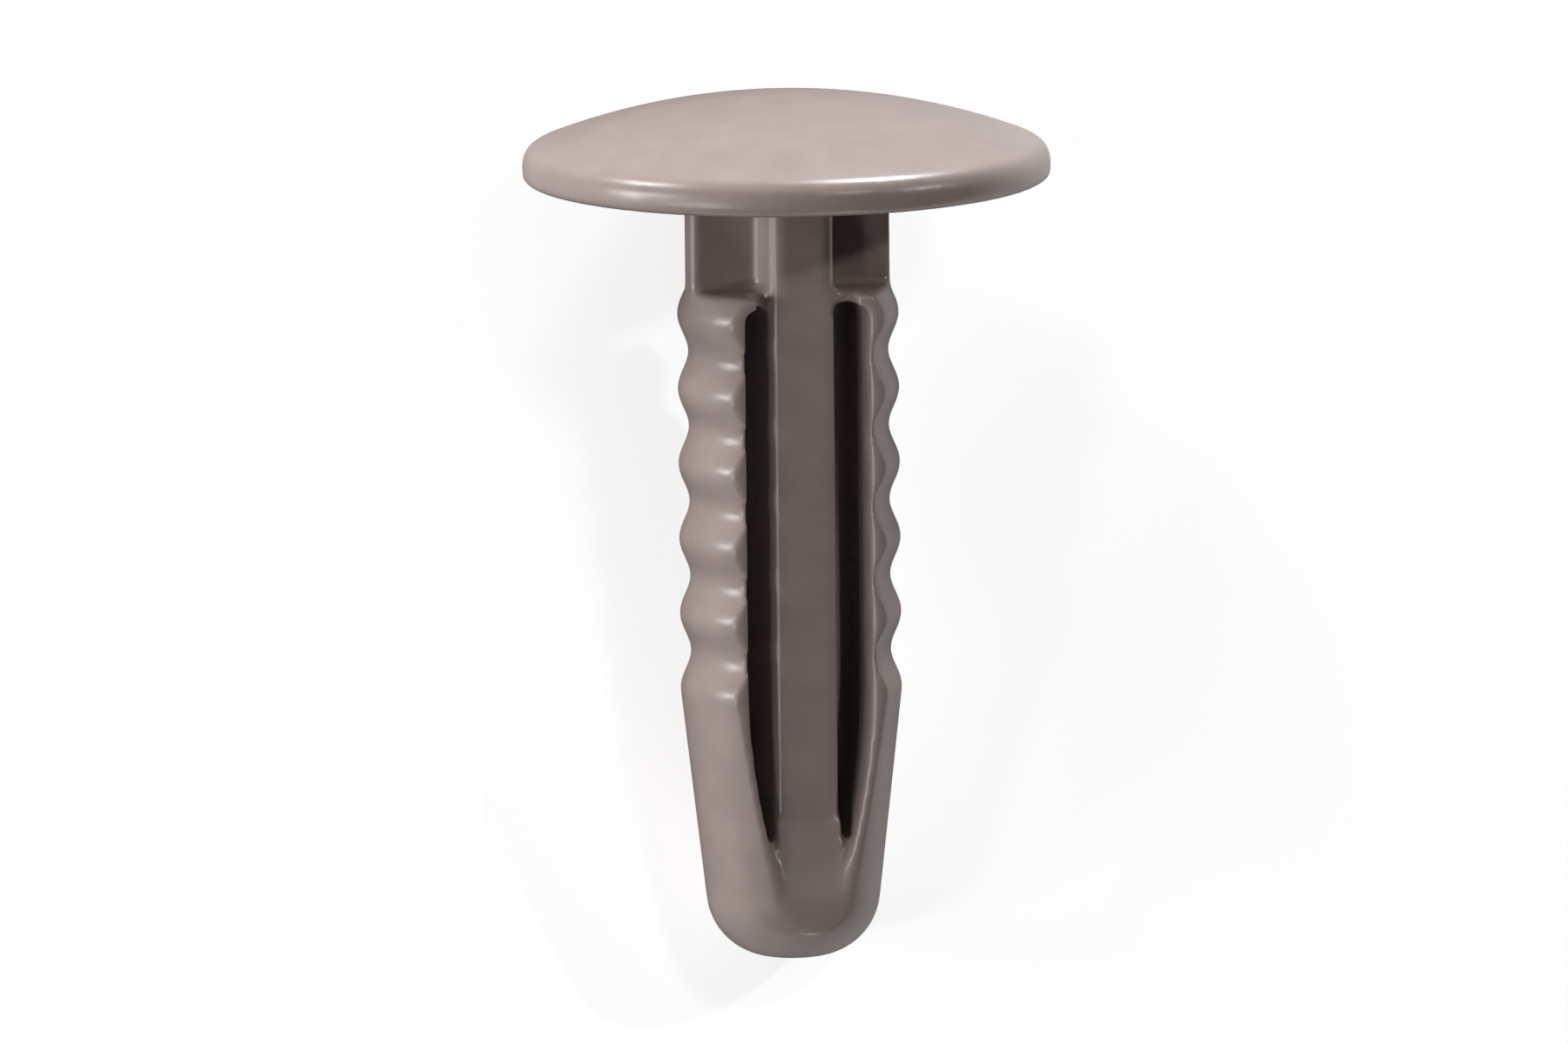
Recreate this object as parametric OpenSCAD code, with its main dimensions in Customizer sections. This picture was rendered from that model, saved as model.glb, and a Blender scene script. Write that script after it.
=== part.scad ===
// Push-in trim clip, moulded in one piece: a shallow domed head, a cross-shaped neck,
// a centre post between two serrated spring legs, and a bullet nose that closes the legs.
// The clip lies as it comes to rest, on the rim of its head and on the back flat of its nose.
// Millimetres. Below, "depth" is the distance from the head's seat towards the nose.

/* [Head] */
// Diameter of the head
head_d = 20; // [16:0.5:26]
// Height of the head's outer edge
head_edge_h = 1.2; // [0.9:0.1:2]
// Rounding of the edge's upper corner, under the dome
edge_top_round = 0.8; // [0.2:0.05:1.2]
// Rounding of the edge's lower corner, beside the seat
edge_low_round = 0.3; // [0.1:0.05:0.4]
// Rise of the dome above the edge
dome_rise = 2; // [1:0.1:3.5]
// Width of the flat seat ring under the edge
seat_w = 2; // [1:0.1:3]
// Depth of the dish inside the seat ring
dish_depth = 0.8; // [0.3:0.1:1.2]

/* [Neck] */
// Length of the neck between seat and shoulder
neck_len = 4.05; // [2.5:0.05:6]
// Width across the neck's two side ribs
neck_w = 7.8; // [6.4:0.1:8]
// Thickness of the side ribs
side_rib_t = 1.2; // [1:0.1:2.4]
// Fillet in the corners between the ribs
rib_fillet = 0.15; // [0.05:0.05:0.3]

/* [Centre post] */
// Thickness of the post from side to side
post_t = 2.6; // [2:0.1:3]
// Size of the post from front to back
post_depth = 4.6; // [3.4:0.1:5.2]
// Rounding of the post's long edges
post_round = 0.5; // [0.2:0.05:0.6]
// Length over which the post swells to the flats of the nose
post_swell = 3; // [1.5:0.1:5]
// Distance from the end of the slots down to the end of the swell
swell_past = 0.85; // [0.4:0.05:1]

/* [Legs] */
// Diameter over the crests of the teeth
crest_d = 8.4; // [8:0.1:9.4]
// Height of a tooth from valley to crest
tooth_h = 0.42; // [0.2:0.02:0.6]
// Distance from crest to crest
tooth_pitch = 2.87; // [2.4:0.01:3]
// Number of teeth on each leg
tooth_count = 6; // [4:1:6]
// Distance from the shoulder down to the first crest
first_crest = 1.05; // [0.8:0.05:1.6]
// Thickness of the shoulder that joins the legs to the post
shoulder_t = 0.5; // [0.4:0.05:0.9]
// Distance between the front and back flats of the legs and nose
flats_d = 6; // [5.8:0.05:6.4]
// Width of the notch in the shoulder, in front of and behind the post
notch_w = 4; // [3.4:0.1:4.4]
// Width of the slot between post and leg
slot_w = 1.15; // [0.9:0.05:1.4]
// Rounding of the slot's corners under the shoulder
slot_corner_r = 0.4; // [0.1:0.05:0.45]
// Radius of the leg's inner side where it closes on the post
slot_curve_r = 26; // [16:0.5:32]

/* [Nose] */
// Length of the shank from seat to tip
shank_len = 29.75; // [28.5:0.05:34]
// Length of the solid nose, from the end of the slots to the tip
solid_nose = 3.4; // [3:0.05:4.5]
// Diameter of the nose where its rounding starts
nose_d = 6.6; // [6.5:0.05:7.6]
// Rounding of the tip
tip_round = 2.5; // [1.5:0.1:2.6]

/* [Hidden] */
clip_grey = [0.60, 0.55, 0.53];
round_steps = 96;
arc_steps = 12;
tooth_steps = 10;
cut = 1;

// The head's dome is part of a ball that rises dome_rise above the edge.
head_r = head_d / 2;
head_h = head_edge_h + dome_rise;
dome_r = (head_r * head_r + dome_rise * dome_rise) / (2 * dome_rise);
dome_centre = head_h - dome_r;
// The upper corner rounding touches both the dome and the upright edge.
top_corner_r = head_r - edge_top_round;
top_corner_h = dome_centre + sqrt(pow(dome_r - edge_top_round, 2) - pow(top_corner_r, 2));
dome_touch_r = top_corner_r * dome_r / (dome_r - edge_top_round);
low_corner_r = head_r - edge_low_round;
// The dish is part of a ball too.
dish_r = head_r - seat_w;
dish_ball = (dish_r * dish_r + dish_depth * dish_depth) / (2 * dish_depth);

// Legs, teeth and slots.
crest_r = crest_d / 2;
flat = flats_d / 2;
post_side = post_t / 2;
post_face = post_depth / 2;
post_edge = post_face - post_round;
leg_side = post_side + slot_w;
crest_1 = neck_len + first_crest;
crest_last = crest_1 + (tooth_count - 1) * tooth_pitch;
slot_top = neck_len + shoulder_t;
slot_end = shank_len - solid_nose;
swell_end = slot_end + swell_past;
swell_start = swell_end - post_swell;
slot_bend = slot_end - sqrt(pow(slot_curve_r, 2) - pow(slot_curve_r - slot_w, 2));

// The nose tapers from the last crest to its rounding, and the taper touches that rounding.
tip_centre = shank_len - tip_round;
tip_r = nose_d / 2 - tip_round;
taper_run = [crest_r - tip_r, tip_centre - crest_last];
taper_deg = acos(tip_round / norm(taper_run)) - atan2(taper_run[1], taper_run[0]);

// At rest the clip touches the ground with the lower corner of its head
// and with the end of the nose's back flat.
flat_end_turn = acos((flat - tip_r) / tip_round);
rest_depth = tip_centre + tip_round * sin(flat_end_turn);
rest_reach = low_corner_r - flat;
rest_run = rest_depth + edge_low_round;
lie_deg = atan(rest_reach / rest_run) + asin(edge_low_round / norm([rest_reach, rest_run]));
lift = flat * cos(lie_deg) + rest_depth * sin(lie_deg);
reach_head = dome_centre * cos(lie_deg) + dome_r;
reach_nose = tip_r * sin(lie_deg) + tip_centre * cos(lie_deg) + tip_round;
middle = (reach_head - reach_nose) / 2;

// Radius of the serrated shank at a depth
function tooth_r(depth) = crest_r - tooth_h / 2 * (1 - cos(360 * (depth - crest_1) / tooth_pitch));

// Points of the shank's outline, from the shoulder over the teeth to the tip
function teeth_outline() =
    let (last = ceil(tooth_steps * (crest_last - neck_len) / tooth_pitch))
    [for (i = [0 : last])
        let (depth = neck_len + (crest_last - neck_len) * i / last)
        [tooth_r(depth), -depth]];

function tip_outline() =
    [for (i = [0 : arc_steps])
        let (turn = taper_deg + (90 - taper_deg) * i / arc_steps)
        [tip_r + tip_round * cos(turn), -tip_centre - tip_round * sin(turn)]];

// Half of the head, as a flat outline with its axis on the left
module head_outline() {
    intersection() {
        translate([0, dome_centre]) circle(dome_r, $fn = 2 * round_steps);
        square([dome_touch_r, head_h]);
    }
    intersection() {
        translate([top_corner_r, top_corner_h]) circle(edge_top_round, $fn = round_steps);
        square([head_r, head_h]);
    }
    translate([low_corner_r, edge_low_round]) circle(edge_low_round, $fn = round_steps);
    translate([0, edge_low_round]) square([head_r, top_corner_h - edge_low_round]);
    square([low_corner_r, top_corner_h]);
}

module head() {
    color(clip_grey) difference() {
        rotate_extrude($fn = round_steps) head_outline();
        translate([0, 0, dish_depth - dish_ball]) sphere(dish_ball, $fn = round_steps);
    }
}

// Section of the post, with rounded long edges
module post_section() {
    square([post_t, post_depth - 2 * post_round], center = true);
    square([post_t - 2 * post_round, post_depth], center = true);
    for (sx = [-1, 1], sy = [-1, 1])
        translate([sx * (post_side - post_round), sy * (post_face - post_round)])
            circle(post_round, $fn = round_steps);
}

// Cross of ribs: the side ribs stand on the shoulder, the front and back ribs run on as the post
module neck_section() {
    square([neck_w, side_rib_t], center = true);
    post_section();
    for (sx = [-1, 1], sy = [-1, 1])
        scale([sx, sy]) translate([post_side, side_rib_t / 2]) difference() {
            square(rib_fillet);
            translate([rib_fillet, rib_fillet]) circle(rib_fillet, $fn = round_steps);
        }
}

module neck() {
    color(clip_grey) translate([0, 0, -neck_len - shoulder_t / 2])
        linear_extrude(neck_len + shoulder_t / 2 + dish_depth + cut / 2) neck_section();
}

// The post runs from the shoulder into the nose
module post() {
    color(clip_grey) translate([0, 0, -tip_centre]) linear_extrude(tip_centre - neck_len) post_section();
}

// One slot between post and leg, seen from the front: square corners rounded under the shoulder,
// and the leg's inner side curving in to the post
module slot_view() {
    translate([post_side, -slot_bend])
        square([slot_w, slot_bend - slot_top - slot_corner_r]);
    translate([post_side + slot_corner_r, -slot_bend])
        square([slot_w - 2 * slot_corner_r, slot_bend - slot_top]);
    for (x = [post_side + slot_corner_r, leg_side - slot_corner_r])
        translate([x, -slot_top - slot_corner_r]) circle(slot_corner_r, $fn = round_steps);
    intersection() {
        translate([leg_side - slot_curve_r, -slot_bend]) circle(slot_curve_r, $fn = 2 * round_steps);
        translate([post_side, -slot_end - cut]) square([slot_w, slot_end - slot_bend + 2 * cut]);
    }
}

// Both legs with their teeth, the shoulder above them and the nose below, cut from one round shank
module legs_and_nose() {
    color(clip_grey) difference() {
        intersection() {
            rotate_extrude($fn = round_steps)
                polygon(concat([[0, -neck_len]], teeth_outline(), tip_outline(), [[0, -shank_len]]));
            translate([0, 0, -shank_len / 2]) cube([2 * head_r, flats_d, shank_len + cut], center = true);
        }
        for (side = [0, 1])
            mirror([side, 0, 0])
                rotate([90, 0, 0]) linear_extrude(flats_d + cut, center = true) slot_view();
        // The shoulder and legs stand proud of the post, which runs between them like a keel.
        post_clearance();
        shoulder_notch();
    }
}

// Space in front of the post and behind it, which ends in the ramp where the post swells to the flats
module post_clearance() {
    rotate([90, 0, 90]) linear_extrude(post_t, center = true)
        for (s = [-1, 1]) scale([s, 1]) polygon([
            [post_edge, 0], [flat + cut, 0], [flat + cut, -swell_end],
            [flat, -swell_end], [post_face, -swell_start], [post_edge, -swell_start]
        ]);
}

// Notch in the shoulder, a little wider than the post
module shoulder_notch() {
    notch_end = slot_top + slot_corner_r;
    rotate([90, 0, 90]) linear_extrude(notch_w, center = true)
        for (s = [-1, 1]) scale([s, 1]) polygon([
            [post_edge, 0], [flat + cut, 0], [flat + cut, -notch_end], [post_edge, -notch_end]
        ]);
}

// The finished clip, laid down to rest with its nose towards -Y and its front up
module trim_clip() {
    translate([0, -middle, lift]) rotate([lie_deg - 90, 0, 0]) {
        head();
        neck();
        post();
        legs_and_nose();
    }
}

trim_clip();
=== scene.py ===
# %% [markdown]
# # A push-in trim clip
# The clip is one moulding of grey nylon: a shallow domed head, a cross-shaped neck, a centre post between
# two serrated spring legs, and a nose that closes them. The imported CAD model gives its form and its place
# on the ground. This lesson models the same clip with softened edges, gives it a moulded nylon finish,
# and lights it as a small product on a white table.

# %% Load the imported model
import math

import bpy
from mathutils import Matrix, Vector


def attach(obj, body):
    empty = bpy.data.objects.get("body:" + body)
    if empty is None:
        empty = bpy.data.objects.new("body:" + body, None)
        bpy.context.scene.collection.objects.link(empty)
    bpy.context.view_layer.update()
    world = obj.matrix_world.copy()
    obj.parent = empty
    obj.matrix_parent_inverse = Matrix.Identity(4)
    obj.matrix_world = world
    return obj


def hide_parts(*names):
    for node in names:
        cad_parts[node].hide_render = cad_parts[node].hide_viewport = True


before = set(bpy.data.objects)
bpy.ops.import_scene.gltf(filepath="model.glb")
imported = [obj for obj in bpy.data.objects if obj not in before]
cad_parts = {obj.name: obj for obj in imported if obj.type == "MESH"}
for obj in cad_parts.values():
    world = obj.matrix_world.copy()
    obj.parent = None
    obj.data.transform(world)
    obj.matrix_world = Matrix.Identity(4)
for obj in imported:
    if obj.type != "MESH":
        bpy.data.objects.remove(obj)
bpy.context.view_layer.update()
MM = 0.001

# %% [markdown]
# ## Sizes
# Such a clip is designed from the hole it is pushed through and the panels it holds. Its places could be
# read off the CAD model by eye, but then a slot would soon miss its post. So the driving sizes are named
# here, in millimetres. "Depth" is the distance from the head's seat towards the nose.

# %% Sizes of the clip
HEAD_R = 10.0
EDGE_H = 1.2
EDGE_TOP_ROUND = 0.8
EDGE_LOW_ROUND = 0.3
DOME_RISE = 2.0
SEAT_W = 2.0
DISH_DEPTH = 0.8

NECK_LEN = 4.05
NECK_W = 7.8
SIDE_RIB_T = 1.2
RIB_FILLET = 0.15

POST_T = 2.6
POST_DEPTH = 4.6
POST_ROUND = 0.5
POST_SWELL = 3.0
SWELL_PAST = 0.85

CREST_R = 4.2
TOOTH_H = 0.42
TOOTH_PITCH = 2.87
TOOTH_COUNT = 6
FIRST_CREST = 1.05
SHOULDER_T = 0.5
NOTCH_W = 4.0
FLATS_D = 6.0
SLOT_W = 1.15
SLOT_CORNER_R = 0.4
SLOT_CURVE_R = 26.0

SHANK_LEN = 29.75
SOLID_NOSE = 3.4
NOSE_R = 3.3
TIP_ROUND = 2.5
print("head:", 2 * HEAD_R, "mm wide; shank:", SHANK_LEN, "mm long, with", TOOTH_COUNT, "teeth on each leg")

# %% [markdown]
# ## Places on the clip
# The rest follows from the driving sizes, as on a maker's drawing: where the dome runs into the rounded
# edge, where a slot starts to close, and where the nose's taper touches the rounding of the tip.

# %% Places on the head
HEAD_H = EDGE_H + DOME_RISE
DOME_R = (HEAD_R**2 + DOME_RISE**2) / (2 * DOME_RISE)
DOME_CENTRE = HEAD_H - DOME_R
TOP_CORNER_R = HEAD_R - EDGE_TOP_ROUND
TOP_CORNER_H = DOME_CENTRE + math.sqrt((DOME_R - EDGE_TOP_ROUND) ** 2 - TOP_CORNER_R**2)
LOW_CORNER_R = HEAD_R - EDGE_LOW_ROUND
DISH_R = HEAD_R - SEAT_W
DISH_BALL = (DISH_R**2 + DISH_DEPTH**2) / (2 * DISH_DEPTH)
print("the dome is part of a ball of radius", round(DOME_R, 2), "mm")

# %% Places on the shank
FLAT = FLATS_D / 2
POST_SIDE = POST_T / 2
POST_FACE = POST_DEPTH / 2
POST_EDGE = POST_FACE - POST_ROUND
LEG_SIDE = POST_SIDE + SLOT_W
CREST_1 = NECK_LEN + FIRST_CREST
CREST_LAST = CREST_1 + (TOOTH_COUNT - 1) * TOOTH_PITCH
SLOT_TOP = NECK_LEN + SHOULDER_T
SLOT_END = SHANK_LEN - SOLID_NOSE
SLOT_BEND = SLOT_END - math.sqrt(SLOT_CURVE_R**2 - (SLOT_CURVE_R - SLOT_W) ** 2)
SWELL_END = SLOT_END + SWELL_PAST
SWELL_START = SWELL_END - POST_SWELL
TIP_CENTRE = SHANK_LEN - TIP_ROUND
TIP_R = NOSE_R - TIP_ROUND
TAPER_RUN = Vector((CREST_R - TIP_R, TIP_CENTRE - CREST_LAST))
TAPER = math.acos(TIP_ROUND / TAPER_RUN.length) - math.atan2(TAPER_RUN[1], TAPER_RUN[0])
print("slots from", SLOT_TOP, "to", SLOT_END, "mm deep; taper:", round(math.degrees(TAPER), 2), "degrees")

# %% [markdown]
# ## At rest
# The clip can't stand. It lies on the lower corner of its head and on the end of its nose's back flat. It
# could be turned by hand until it looks right, but its angle follows from the two places that touch the
# ground, so it is worked out and agrees with the CAD model.

# %% The clip at rest
REST_DEPTH = TIP_CENTRE + TIP_ROUND * math.sin(math.acos((FLAT - TIP_R) / TIP_ROUND))
REST = Vector((LOW_CORNER_R - FLAT, REST_DEPTH + EDGE_LOW_ROUND))
LIE = math.atan(REST[0] / REST[1]) + math.asin(EDGE_LOW_ROUND / REST.length)
LIFT = FLAT * math.cos(LIE) + REST_DEPTH * math.sin(LIE)
REACH_HEAD = DOME_CENTRE * math.cos(LIE) + DOME_R
REACH_NOSE = TIP_R * math.sin(LIE) + TIP_CENTRE * math.cos(LIE) + TIP_ROUND
MIDDLE = (REACH_HEAD - REACH_NOSE) / 2
LAY_DOWN = Matrix.Translation((0, -MIDDLE, LIFT)) @ Matrix.Rotation(LIE - math.pi / 2, 4, "X")
print("the clip lies at", round(math.degrees(LIE), 2), "degrees; its seat is", round(LIFT, 2), "mm up")

# %% [markdown]
# ## Camera
# The photograph was taken almost square to the clip's length, a little from its left and a little from
# above its head, with a long lens. A short lens close by would show the head too thin, so the camera
# stands well back, though a far longer lens would leave the clip out of turned views. The camera could be
# aimed by eye, but it is placed in the upright clip's own directions and then laid down with it. The
# picture's middle falls on the shank, a named distance below the seat.

# %% Camera's directions
VIEW_LEFT = math.radians(15.0)
VIEW_ABOVE = math.radians(9.1)
VIEW_ROLL = math.radians(0.55)

toward = Vector((-math.sin(VIEW_LEFT) * math.cos(VIEW_ABOVE), -math.cos(VIEW_LEFT) * math.cos(VIEW_ABOVE),
                 math.sin(VIEW_ABOVE)))
across = Vector((math.cos(VIEW_LEFT), -math.sin(VIEW_LEFT), 0))
upward = toward.cross(across)
right = across * math.cos(VIEW_ROLL) - upward * math.sin(VIEW_ROLL)
upright = upward * math.cos(VIEW_ROLL) + across * math.sin(VIEW_ROLL)
print("from the clip, the camera lies towards", [round(c, 3) for c in toward])

# %% Camera
FRAME_W = 59.4
AIM_DEPTH = 13.17
AIM_LEFT = 0.22
LENS = 1000.0
SENSOR = 36.0
NEAREST_SEEN = 0.01
FARTHEST_SEEN = 5.0

aim = Vector((0, 0, -AIM_DEPTH)) - across * AIM_LEFT
distance = FRAME_W * LENS / SENSOR

bpy.ops.object.select_all(action="DESELECT")
bpy.ops.object.camera_add()
camera = bpy.context.object
camera.name = "camera"
camera.data.lens = LENS
camera.data.sensor_width = SENSOR
turn = Matrix((right, upright, toward)).transposed().to_4x4()
place = LAY_DOWN @ Matrix.Translation(aim + toward * distance) @ turn
camera.rotation_mode = "QUATERNION"
camera.rotation_quaternion = place.to_quaternion()
camera.location = place.to_translation() * MM
camera.data.clip_start = NEAREST_SEEN
camera.data.clip_end = FARTHEST_SEEN
bpy.context.scene.camera = camera
print("camera at", [round(c, 3) for c in camera.location], "m")

# %% [markdown]
# ## Drawing an outline
# A part this small is modelled upright at a thousand times its size, one unit to the millimetre, because
# Blender's merge distances suit pieces of a few units. An outline could be a curve object, but a mesh goes
# straight on to a spin or an extrusion. So one vertex is placed, and extruded from point to point.

# %% Edit mode
def edit(piece, mode="VERT"):
    """Makes a piece the only one selected and enters edit mode with all of it selected."""
    bpy.ops.object.select_all(action="DESELECT")
    piece.select_set(True)
    bpy.context.view_layer.objects.active = piece
    bpy.ops.object.mode_set(mode="EDIT")
    bpy.ops.mesh.select_mode(type=mode)
    bpy.ops.mesh.select_all(action="SELECT")


def done():
    """Leaves edit mode and hands the piece back."""
    bpy.ops.object.mode_set(mode="OBJECT")
    return bpy.context.object


print("one unit is one millimetre until the clip is laid down")

# %% Outlines
def draw(name, points):
    """An outline of edges through the points. A tiny triangle is merged to the vertex it starts from."""
    bpy.ops.object.select_all(action="DESELECT")
    bpy.ops.mesh.primitive_circle_add(vertices=3, radius=0.1)
    bpy.context.object.name = name
    edit(bpy.context.object)
    bpy.ops.mesh.merge(type="CENTER")
    bpy.ops.transform.translate(value=points[0])
    for start, end in zip(points, points[1:]):
        step = Vector(end) - Vector(start)
        bpy.ops.mesh.extrude_vertices_move(TRANSFORM_OT_translate={"value": step})
    return done()


def arc(centre, radius, start, end, steps):
    """Points of an arc in the upright plane through the axis, from one angle to another, in degrees."""
    angles = [math.radians(start + (end - start) * i / steps) for i in range(steps + 1)]
    return [(centre[0] + radius * math.cos(a), 0, centre[1] + radius * math.sin(a)) for a in angles]


SHORT_ARC = 6
LONG_ARC = 16
print("a short arc has", SHORT_ARC, "steps and a long one", LONG_ARC)

# %% [markdown]
# ## Head
# The head is a turned form: dome, rounded upper corner, upright edge, sharper lower corner, flat seat ring
# and a shallow dish underneath. It could be a flattened ball, but then its edge, ring and dish would each
# need shaping. So its half outline is drawn once and spun round the axis.

# %% Spinning
SPIN_STEPS = 160
WELD = 0.001


def close_shell():
    """Closes seams and poles and turns all faces outwards. It runs in edit mode."""
    bpy.ops.mesh.select_all(action="SELECT")
    bpy.ops.mesh.remove_doubles(threshold=WELD)
    bpy.ops.mesh.normals_make_consistent(inside=False)


def revolve(piece):
    """Spins an outline once round the clip's axis."""
    edit(piece)
    bpy.ops.mesh.spin(steps=SPIN_STEPS, angle=2 * math.pi, center=(0, 0, 0), axis=(0, 0, 1))
    close_shell()
    return done()


print("a spin has", SPIN_STEPS, "steps, and points closer than", WELD, "mm are welded")

# %% Head
DOME_STEPS = 24
TOP_CORNER_STEPS = 8
dome_edge = math.degrees(math.acos(TOP_CORNER_R / (DOME_R - EDGE_TOP_ROUND)))
dish_edge = math.degrees(math.asin(DISH_R / DISH_BALL))
head_points = (
    arc((0, DOME_CENTRE), DOME_R, 90, dome_edge, DOME_STEPS)
    + arc((TOP_CORNER_R, TOP_CORNER_H), EDGE_TOP_ROUND, dome_edge, 0, TOP_CORNER_STEPS)[1:]
    + arc((LOW_CORNER_R, EDGE_LOW_ROUND), EDGE_LOW_ROUND, 0, -90, SHORT_ARC)
    + arc((0, DISH_DEPTH - DISH_BALL), DISH_BALL, 90 - dish_edge, 90, LONG_ARC)
)
head = revolve(draw("head", head_points))
print("head:", len(head.data.polygons), "faces")

# %% [markdown]
# ## Legs and nose
# Both legs, the shoulder above them and the nose below are cut from one serrated round shank. The teeth
# grip the edge of the panel's hole. They could be separate rings, but on the clip they run into each other
# as one wave, so they are a wave along the outline. After the spin, two flats are bisected away at front
# and back.

# %% Serrated shank
TOOTH_STEPS = 14
TIP_STEPS = 14


def tooth_radius(depth):
    """The shank's radius at a depth, from crest to valley and back with every tooth."""
    return CREST_R - TOOTH_H / 2 * (1 - math.cos(2 * math.pi * (depth - CREST_1) / TOOTH_PITCH))


teeth = math.ceil(TOOTH_STEPS * (CREST_LAST - NECK_LEN) / TOOTH_PITCH)
depths = [NECK_LEN + (CREST_LAST - NECK_LEN) * i / teeth for i in range(teeth + 1)]
shank_points = (
    [(0, 0, -NECK_LEN)]
    + [(tooth_radius(d), 0, -d) for d in depths]
    + arc((TIP_R, -TIP_CENTRE), TIP_ROUND, -math.degrees(TAPER), -90, TIP_STEPS)
    + [(0, 0, -SHANK_LEN)]
)
shank = revolve(draw("shank", shank_points))
print("round shank:", len(shank.data.polygons), "faces")

# %% Front and back flats
for side in (-1, 1):
    edit(shank)
    bpy.ops.mesh.bisect(plane_co=(0, side * FLAT, 0), plane_no=(0, side, 0), use_fill=True, clear_outer=True)
    done()
print("shank with its flats:", len(shank.data.polygons), "faces,", FLATS_D, "mm from flat to flat")

# %% [markdown]
# ## Slots
# The slots free the legs, so that they spring towards the post as the clip is pushed in. In the mould each
# slot is a blade of steel. It could be inset and bridged through the shank, but its rounded corners and
# its curved outer side are easier to draw. So one blade is drawn, thickened and mirrored, and both are cut
# away.

# %% Making blades
def thicken(piece, step):
    """Fills a closed outline and extrudes it along one step."""
    edit(piece)
    bpy.ops.mesh.remove_doubles(threshold=WELD)
    bpy.ops.mesh.edge_face_add()
    bpy.ops.mesh.extrude_region_move(TRANSFORM_OT_translate={"value": step})
    close_shell()
    return done()


def mirrored(piece, name):
    """A copy of a piece on the other side of the clip."""
    copy = piece.copy()
    copy.data = piece.data.copy()
    copy.name = name
    bpy.context.collection.objects.link(copy)
    copy.data.transform(Matrix.Scale(-1, 4, (1, 0, 0)))
    edit(copy)
    close_shell()
    return done()


CUT = 1.0
print("a blade stands", CUT, "mm out of what it cuts")

# %% Applying modifiers
def apply(piece, kind, **settings):
    """Adds a modifier with its settings and applies it."""
    bpy.ops.object.select_all(action="DESELECT")
    piece.select_set(True)
    bpy.context.view_layer.objects.active = piece
    modifier = piece.modifiers.new(kind.title(), kind)
    for key, value in settings.items():
        setattr(modifier, key, value)
    bpy.ops.object.modifier_apply(modifier=modifier.name)


def combine(piece, tool, how):
    """Unites a piece with a tool body or cuts the tool body away from it."""
    apply(piece, "BOOLEAN", object=tool, operation=how, solver="EXACT")
    bpy.data.objects.remove(tool)


print("a tool body is removed once it is united or cut")

# %% Slots beside the post
slot_close = math.degrees(math.asin((SLOT_END - SLOT_BEND) / SLOT_CURVE_R))
corner_h = -SLOT_TOP - SLOT_CORNER_R
slot_points = (
    [(POST_SIDE, 0, -SLOT_END)]
    + arc((POST_SIDE + SLOT_CORNER_R, corner_h), SLOT_CORNER_R, 180, 90, SHORT_ARC)
    + arc((LEG_SIDE - SLOT_CORNER_R, corner_h), SLOT_CORNER_R, 90, 0, SHORT_ARC)
    + arc((LEG_SIDE - SLOT_CURVE_R, -SLOT_BEND), SLOT_CURVE_R, 0, -slot_close, LONG_ARC)
)
slot_points = [(x, -FLAT - CUT, z) for x, _, z in slot_points]
right_slot = thicken(draw("right_slot", slot_points), (0, FLATS_D + 2 * CUT, 0))
left_slot = mirrored(right_slot, "left_slot")
for slot in (right_slot, left_slot):
    combine(shank, slot, "DIFFERENCE")
print("shank with slots:", len(shank.data.polygons), "faces")

# %% [markdown]
# ## Space round the post
# The post is set back behind the flats and swells out to them in a ramp, which leads the legs' ends into
# the solid nose. The space in front of it and behind it could be bisected away in steps, but a side view
# of it is simple to draw. The shoulder has a wider notch there, made in the same way.

# %% Space round the post
NOTCH_END = SLOT_TOP + SLOT_CORNER_R
recess_points = [(POST_EDGE, 0), (FLAT + CUT, 0), (FLAT + CUT, -SWELL_END), (FLAT, -SWELL_END),
                 (POST_FACE, -SWELL_START), (POST_EDGE, -SWELL_START), (POST_EDGE, 0)]
notch_points = [(POST_EDGE, 0), (FLAT + CUT, 0), (FLAT + CUT, -NOTCH_END), (POST_EDGE, -NOTCH_END),
                (POST_EDGE, 0)]
for side in (-1, 1):
    for name, points, width in (("recess", recess_points, POST_T), ("notch", notch_points, NOTCH_W)):
        outline = [(-width / 2, side * y, z) for y, z in points]
        combine(shank, thicken(draw(name, outline), (width, 0, 0)), "DIFFERENCE")
print("shank with its recesses:", len(shank.data.polygons), "faces")

# %% [markdown]
# ## Post and neck
# The post carries the pull from the head to the nose: a bar with rounded long edges. Two side ribs centre
# the neck in the hole and make it a cross, with a small fillet in each inner corner. The cross could be
# drawn as one outline, but boxes with bevelled edges say more plainly what each rib is.

# %% Bars and their rounded edges
def bar(name, size, top, bottom):
    """An upright bar round the axis, between two depths."""
    bpy.ops.object.select_all(action="DESELECT")
    bpy.ops.mesh.primitive_cube_add(size=1, location=(0, 0, -(top + bottom) / 2), scale=(*size, bottom - top))
    bpy.context.object.name = name
    bpy.ops.object.transform_apply(location=True, rotation=False, scale=True)
    return bpy.context.object


def round_upright_edges(piece, near, width, segments):
    """Bevels the upright edges that stand at the given distances from the two middle planes."""
    edit(piece, "EDGE")
    bpy.ops.mesh.select_all(action="DESELECT")
    done()
    for e in piece.data.edges:
        a, b = (piece.data.vertices[i].co for i in e.vertices)
        upright_edge = (a - b).xy.length < WELD
        e.select = upright_edge and abs(abs(a.x) - near[0]) < WELD and abs(abs(a.y) - near[1]) < WELD
    bpy.ops.object.mode_set(mode="EDIT")
    bpy.ops.mesh.bevel(offset=width, offset_type="OFFSET", segments=segments, affect="EDGES")
    done()


INTO_HEAD = 0.5
bars_top = -DISH_DEPTH - INTO_HEAD
neck_end = NECK_LEN + SHOULDER_T / 2
print("the bars run from", -bars_top, "mm above the seat, inside the head")

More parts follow.
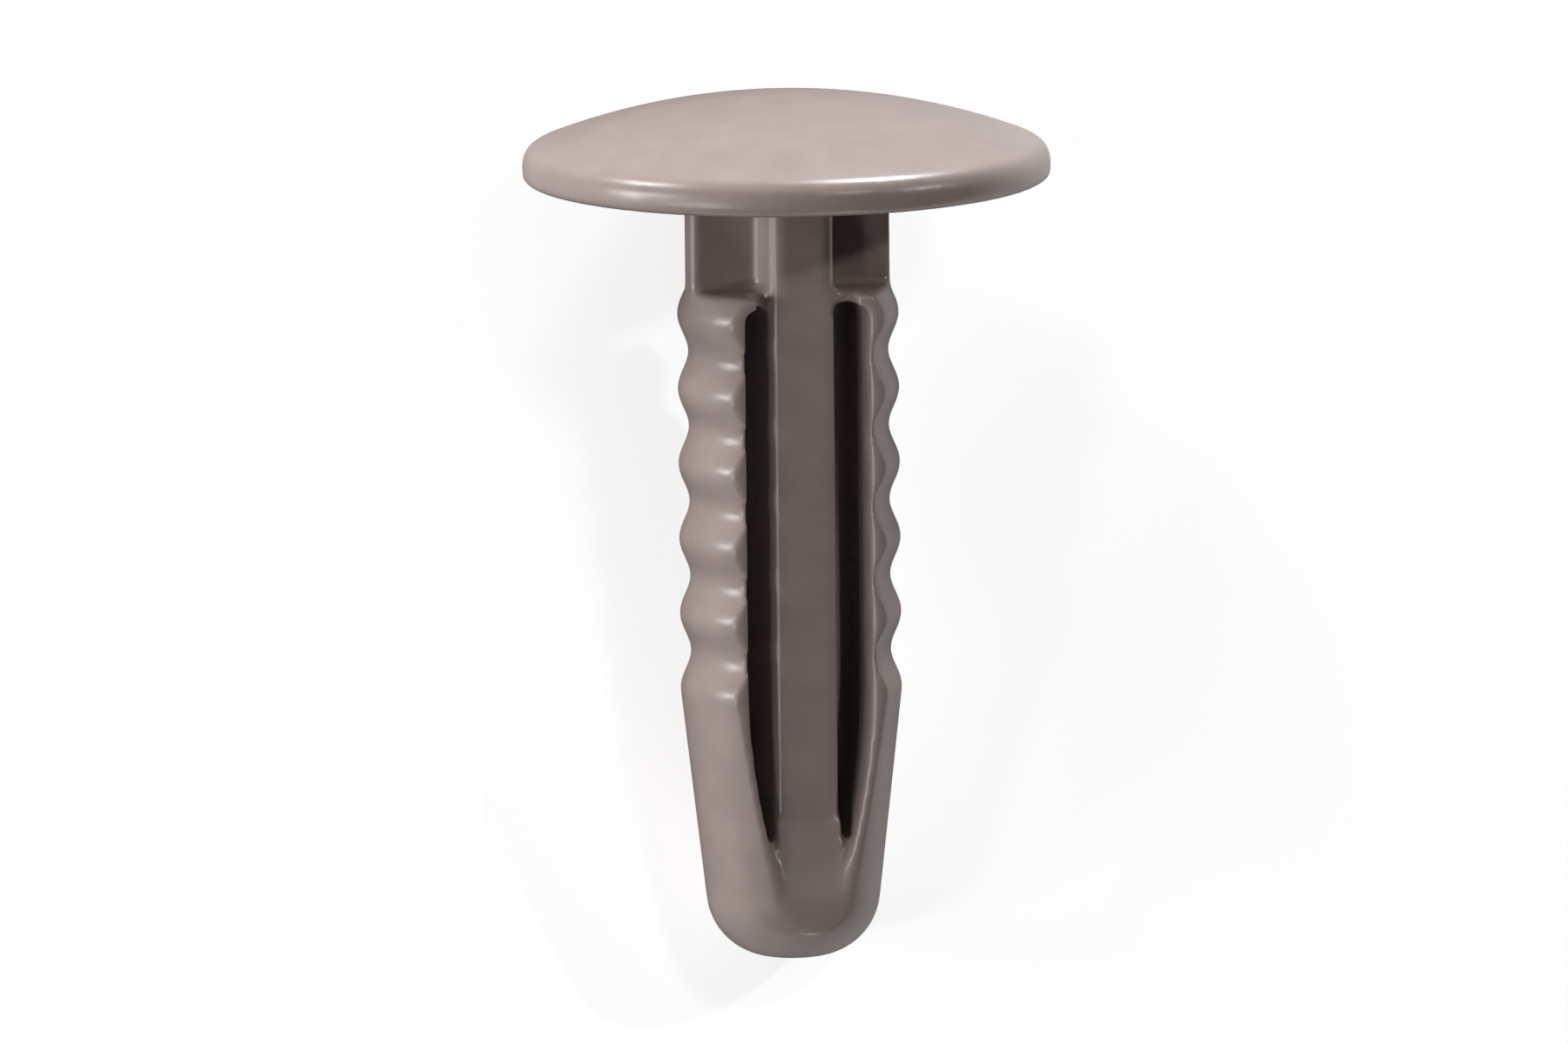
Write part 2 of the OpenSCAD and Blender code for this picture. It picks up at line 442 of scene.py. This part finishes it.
# %% Post and neck
post = bar("post", (POST_T, POST_DEPTH), bars_top, TIP_CENTRE)
round_upright_edges(post, (POST_SIDE, POST_FACE), POST_ROUND, 6)
ribs = bar("ribs", (NECK_W, SIDE_RIB_T), bars_top, neck_end)
keel = bar("keel", (POST_T, 2 * POST_EDGE), bars_top, neck_end)
combine(ribs, keel, "UNION")
round_upright_edges(ribs, (POST_SIDE, SIDE_RIB_T / 2), RIB_FILLET, 5)
print("post:", len(post.data.polygons), "faces; ribs:", len(ribs.data.polygons), "faces")

# %% [markdown]
# ## One moulding
# The clip leaves its mould in one piece, and a mould has no perfectly sharp edges. Each edge could be
# bevelled, but the many cuts leave slivers that a bevel can tear. So the bodies are united and rebuilt as
# one even skin by a voxel remesh, and a few passes of smoothing give every edge the same small round.

# %% Unite and soften
VOXEL = 0.155
SMOOTHING = 0.5
SMOOTHING_PASSES = 3
clip = head
clip.name = "moulded_clip"
clip.data.name = "moulded_clip"
for body in (shank, post, ribs):
    combine(clip, body, "UNION")
apply(clip, "REMESH", mode="VOXEL", voxel_size=VOXEL, adaptivity=0.0)
apply(clip, "SMOOTH", factor=SMOOTHING, iterations=SMOOTHING_PASSES)
clip.data.calc_loop_triangles()
print("clip:", len(clip.data.polygons), "faces,", len(clip.data.loop_triangles), "triangles")

# %% [markdown]
# ## Laid down
# The finished clip is laid down at its true size. The object itself could be turned and scaled, but an
# export puts every object back at the origin. So its mesh is laid down, and the object stays unturned and
# unscaled, as the CAD node that it replaces is.

# %% Lay the clip down
clip.data.transform(Matrix.Scale(MM, 4) @ LAY_DOWN)
clip.location = (0, 0, 0)
bpy.ops.object.select_all(action="DESELECT")
clip.select_set(True)
bpy.context.view_layer.objects.active = clip
bpy.ops.object.shade_smooth()
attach(clip, "root")
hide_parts("trim_clip")
print("laid-down clip, mm:", [round(side / MM, 2) for side in clip.dimensions])

# %% [markdown]
# ## Moulded nylon
# The nylon is a warm mid grey with a soft sheen. Its colour drifts a little where the melt flowed, its skin
# has a fine matt grain, and it is a little glossier in patches. One flat grey would look painted, and an
# image would have to be fitted to the form. So three noises on Object coordinates vary the colour, the
# roughness and the height.

# %% Mix and noise nodes
MIX_SOCKETS = {"RGBA": (6, 7, 2), "FLOAT": (2, 3, 0)}


def mix_node(tree, kind, factor, a, b):
    """Goes from one value to the other. A Mix node has two inputs and an output for each kind of value."""
    node = tree.nodes.new("ShaderNodeMix")
    node.data_type = kind
    first, second, mixed = MIX_SOCKETS[kind]
    tree.links.new(factor, node.inputs[0])
    node.inputs[first].default_value = a
    node.inputs[second].default_value = b
    return node.outputs[mixed]


def noise_node(tree, coordinates, scale, detail):
    """A soft pattern between 0 and 1."""
    node = tree.nodes.new("ShaderNodeTexNoise")
    node.inputs["Scale"].default_value = scale
    node.inputs["Detail"].default_value = detail
    tree.links.new(coordinates, node.inputs["Vector"])
    return node.outputs["Fac"]


print("the mix node's sockets:", MIX_SOCKETS)

# %% Nylon finish
FLOW_SCALE = 700.0
GRAIN_SCALE = 2600.0
PATCH_SCALE = 420.0
DARK_NYLON = (0.315, 0.248, 0.225, 1)
PALE_NYLON = (0.435, 0.348, 0.319, 1)
GLOSSIEST = 0.24
MATTEST = 0.38
GRAIN_STRENGTH = 0.4
GRAIN_HEIGHT = 0.00002
NYLON_IOR = 1.53


def moulded_nylon():
    """The clip's one material."""
    material = bpy.data.materials.new("moulded_nylon")
    material.use_nodes = True
    tree = material.node_tree
    shader = tree.nodes["Principled BSDF"]
    coordinates = tree.nodes.new("ShaderNodeTexCoord").outputs["Object"]
    flow = noise_node(tree, coordinates, FLOW_SCALE, 5.0)
    grain = noise_node(tree, coordinates, GRAIN_SCALE, 2.0)
    patches = noise_node(tree, coordinates, PATCH_SCALE, 4.0)
    tree.links.new(mix_node(tree, "RGBA", flow, DARK_NYLON, PALE_NYLON), shader.inputs["Base Color"])
    tree.links.new(mix_node(tree, "FLOAT", patches, GLOSSIEST, MATTEST), shader.inputs["Roughness"])
    bump = tree.nodes.new("ShaderNodeBump")
    bump.inputs["Strength"].default_value = GRAIN_STRENGTH
    bump.inputs["Distance"].default_value = GRAIN_HEIGHT
    tree.links.new(grain, bump.inputs["Height"])
    tree.links.new(bump.outputs["Normal"], shader.inputs["Normal"])
    shader.inputs["IOR"].default_value = NYLON_IOR
    return material


clip.data.materials.clear()
clip.data.materials.append(moulded_nylon())
print("nylon:", len(clip.data.materials[0].node_tree.nodes), "nodes, roughness", GLOSSIEST, "to", MATTEST)

# %% [markdown]
# ## Table
# The table is white paper. It could be lit until it is white, but that light would wash out the clip, so
# the paper glows for the camera alone. Reflections see it white in the open and dark under the clip. That
# dark is painted shade, worked out from ambient occlusion, because a glow there would light the slots from
# below. To the light that falls on the clip it is a dim floor.

# %% Math and shader nodes
def math_node(tree, operation, first, second):
    """Works out one number from two. The second may be a plain number."""
    node = tree.nodes.new("ShaderNodeMath")
    node.operation = operation
    tree.links.new(first, node.inputs[0])
    if isinstance(second, float):
        node.inputs[1].default_value = second
    else:
        tree.links.new(second, node.inputs[1])
    return node.outputs[0]


def either_shader(tree, factor, a, b):
    """Shows the first shader where the factor is 0 and the second where it is 1."""
    node = tree.nodes.new("ShaderNodeMixShader")
    for socket, source in zip(node.inputs, (factor, a, b)):
        tree.links.new(source, socket)
    return node.outputs[0]


print("math nodes and shader mixes can be added to a material or to the world")

# %% Table
TABLE = 3.0
bpy.ops.object.select_all(action="DESELECT")
bpy.ops.mesh.primitive_plane_add(size=TABLE)
table = bpy.context.object
table.name = "table"
white = bpy.data.materials.new("white_table")
white.use_nodes = True
table_tree = white.node_tree
path = table_tree.nodes.new("ShaderNodeLightPath").outputs
print("table:", TABLE, "m wide")

# %% What the camera sees of the table
PAPER_WHITE = (0.8, 0.8, 0.8, 1)
PAPER_ROUGHNESS = 0.9
PAPER_GLOW = 0.66
paper = table_tree.nodes["Principled BSDF"]
paper.inputs["Base Color"].default_value = PAPER_WHITE
paper.inputs["Roughness"].default_value = PAPER_ROUGHNESS
glow = table_tree.nodes.new("ShaderNodeEmission")
glow.inputs["Strength"].default_value = PAPER_GLOW
shown = table_tree.nodes.new("ShaderNodeAddShader")
table_tree.links.new(paper.outputs[0], shown.inputs[0])
table_tree.links.new(glow.outputs[0], shown.inputs[1])
print("the paper glows at", PAPER_GLOW, "and takes the clip's shadow")

# %% What reflections see of the table
# Painted shade: ambient occlusion, raised to a power, darkens the glow that reflections see under the clip
# and near it.
PAINTED_SHADE_REACH = 0.03
PAINTED_SHADE_POWER = 6.0
shade_occlusion = table_tree.nodes.new("ShaderNodeAmbientOcclusion")
shade_occlusion.samples = 16
shade_occlusion.inputs["Distance"].default_value = PAINTED_SHADE_REACH
mirrored_white = table_tree.nodes.new("ShaderNodeEmission")
painted_shade_factor = math_node(table_tree, "POWER", shade_occlusion.outputs["AO"], PAINTED_SHADE_POWER)
table_tree.links.new(painted_shade_factor, mirrored_white.inputs["Strength"])
print("the clip darkens its reflection in the table up to", PAINTED_SHADE_REACH / MM, "mm away")

# %% What lights the clip from the table
DIM_FLOOR = (0.18, 0.18, 0.18, 1)
dim = table_tree.nodes.new("ShaderNodeBsdfDiffuse")
dim.inputs["Color"].default_value = DIM_FLOOR

in_mirror = math_node(table_tree, "MAXIMUM", path["Is Glossy Ray"], path["Is Transmission Ray"])
surface = either_shader(table_tree, in_mirror, dim.outputs[0], mirrored_white.outputs[0])
surface = either_shader(table_tree, path["Is Camera Ray"], surface, shown.outputs[0])
table_tree.links.new(surface, table_tree.nodes["Material Output"].inputs["Surface"])
table.data.materials.append(white)
print("table's material:", len(table_tree.nodes), "nodes")

# %% [markdown]
# ## World
# The photograph's backdrop is plain white. A white world would light the clip from all sides and leave it
# flat. So the low part of the world is white to the camera and to reflections alone, and the room round
# the clip is nearly dark, which leaves the light to the lamps.

# %% World
ROOM_LIGHT = 0.02
BACKDROP_WHITE = 1.0
BACKDROP_TOP = 0.1
world = bpy.data.worlds.new("studio")
bpy.context.scene.world = world
world.use_nodes = True
world_tree = world.node_tree
room = world_tree.nodes["Background"]
room.inputs["Color"].default_value = (1, 1, 1, 1)
room.inputs["Strength"].default_value = ROOM_LIGHT
backdrop = world_tree.nodes.new("ShaderNodeBackground")
backdrop.inputs["Strength"].default_value = BACKDROP_WHITE
path = world_tree.nodes.new("ShaderNodeLightPath").outputs
height = world_tree.nodes.new("ShaderNodeSeparateXYZ")
world_tree.links.new(world_tree.nodes.new("ShaderNodeTexCoord").outputs["Generated"], height.inputs[0])
low = math_node(world_tree, "LESS_THAN", height.outputs["Z"], BACKDROP_TOP)
ray = math_node(world_tree, "MAXIMUM", path["Is Glossy Ray"], path["Is Transmission Ray"])
ray = math_node(world_tree, "MAXIMUM", path["Is Camera Ray"], ray)
backdrop_seen = math_node(world_tree, "MULTIPLY", low, ray)
surface = either_shader(world_tree, backdrop_seen, room.outputs[0], backdrop.outputs[0])
world_tree.links.new(surface, world_tree.nodes["World Output"].inputs["Surface"])
print("world: backdrop", BACKDROP_WHITE, "and room", ROOM_LIGHT)

# %% [markdown]
# ## Lamps
# In the photograph the head's far side and the left flank are bright, and the neck and the slots are dark.
# One large lamp would fill the slots too. So a soft lamp stands low beyond the head, others stand low on
# the clip's left, and little comes from the front. Small lamps pick out the post's edge, the nose and the
# glint on the rim.

# %% Lamps
MIDDLE_OF_CLIP = Vector((0, 0, 0.008))


def lamp(name, place, size, watts):
    """A square soft lamp that faces the clip. The camera doesn't see it."""
    bpy.ops.object.select_all(action="DESELECT")
    bpy.ops.object.light_add(type="AREA", location=place)
    light = bpy.context.object
    light.name = name
    light.data.shape = "SQUARE"
    light.data.size = size
    light.data.energy = watts
    light.rotation_mode = "QUATERNION"
    light.rotation_quaternion = (Vector(place) - MIDDLE_OF_CLIP).to_track_quat("Z", "Y")
    light.visible_camera = False
    return light


lamps = [
    lamp("lamp_beyond_head", (0.08, 0.236, 0.012), 0.06, 0.7),
    lamp("lamp_beyond_left", (-0.161, 0.186, 0.03), 0.05, 0.3),
    lamp("lamp_left_low", (-0.248, 0.016, 0.034), 0.05, 0.19),
    lamp("lamp_left_high", (-0.231, 0.022, 0.1), 0.05, 0.08),
    lamp("lamp_left_front", (-0.216, -0.066, 0.115), 0.03, 0.05),
    lamp("lamp_post_edge", (-0.183, -0.077, 0.16), 0.02, 0.05),
    lamp("lamp_nose", (0.05, -0.235, 0.078), 0.05, 0.06),
    lamp("lamp_front", (0.056, 0.072, 0.241), 0.03, 0.05),
    lamp("lamp_right_glint", (0.175, 0.064, 0.175), 0.012, 0.09),
]
print("lamps:", len(lamps), "with", round(sum(light.data.energy for light in lamps), 2), "watts in all")

# %% [markdown]
# The Standard view shows a colour about as it is written.

bpy.context.scene.view_settings.view_transform = "Standard"
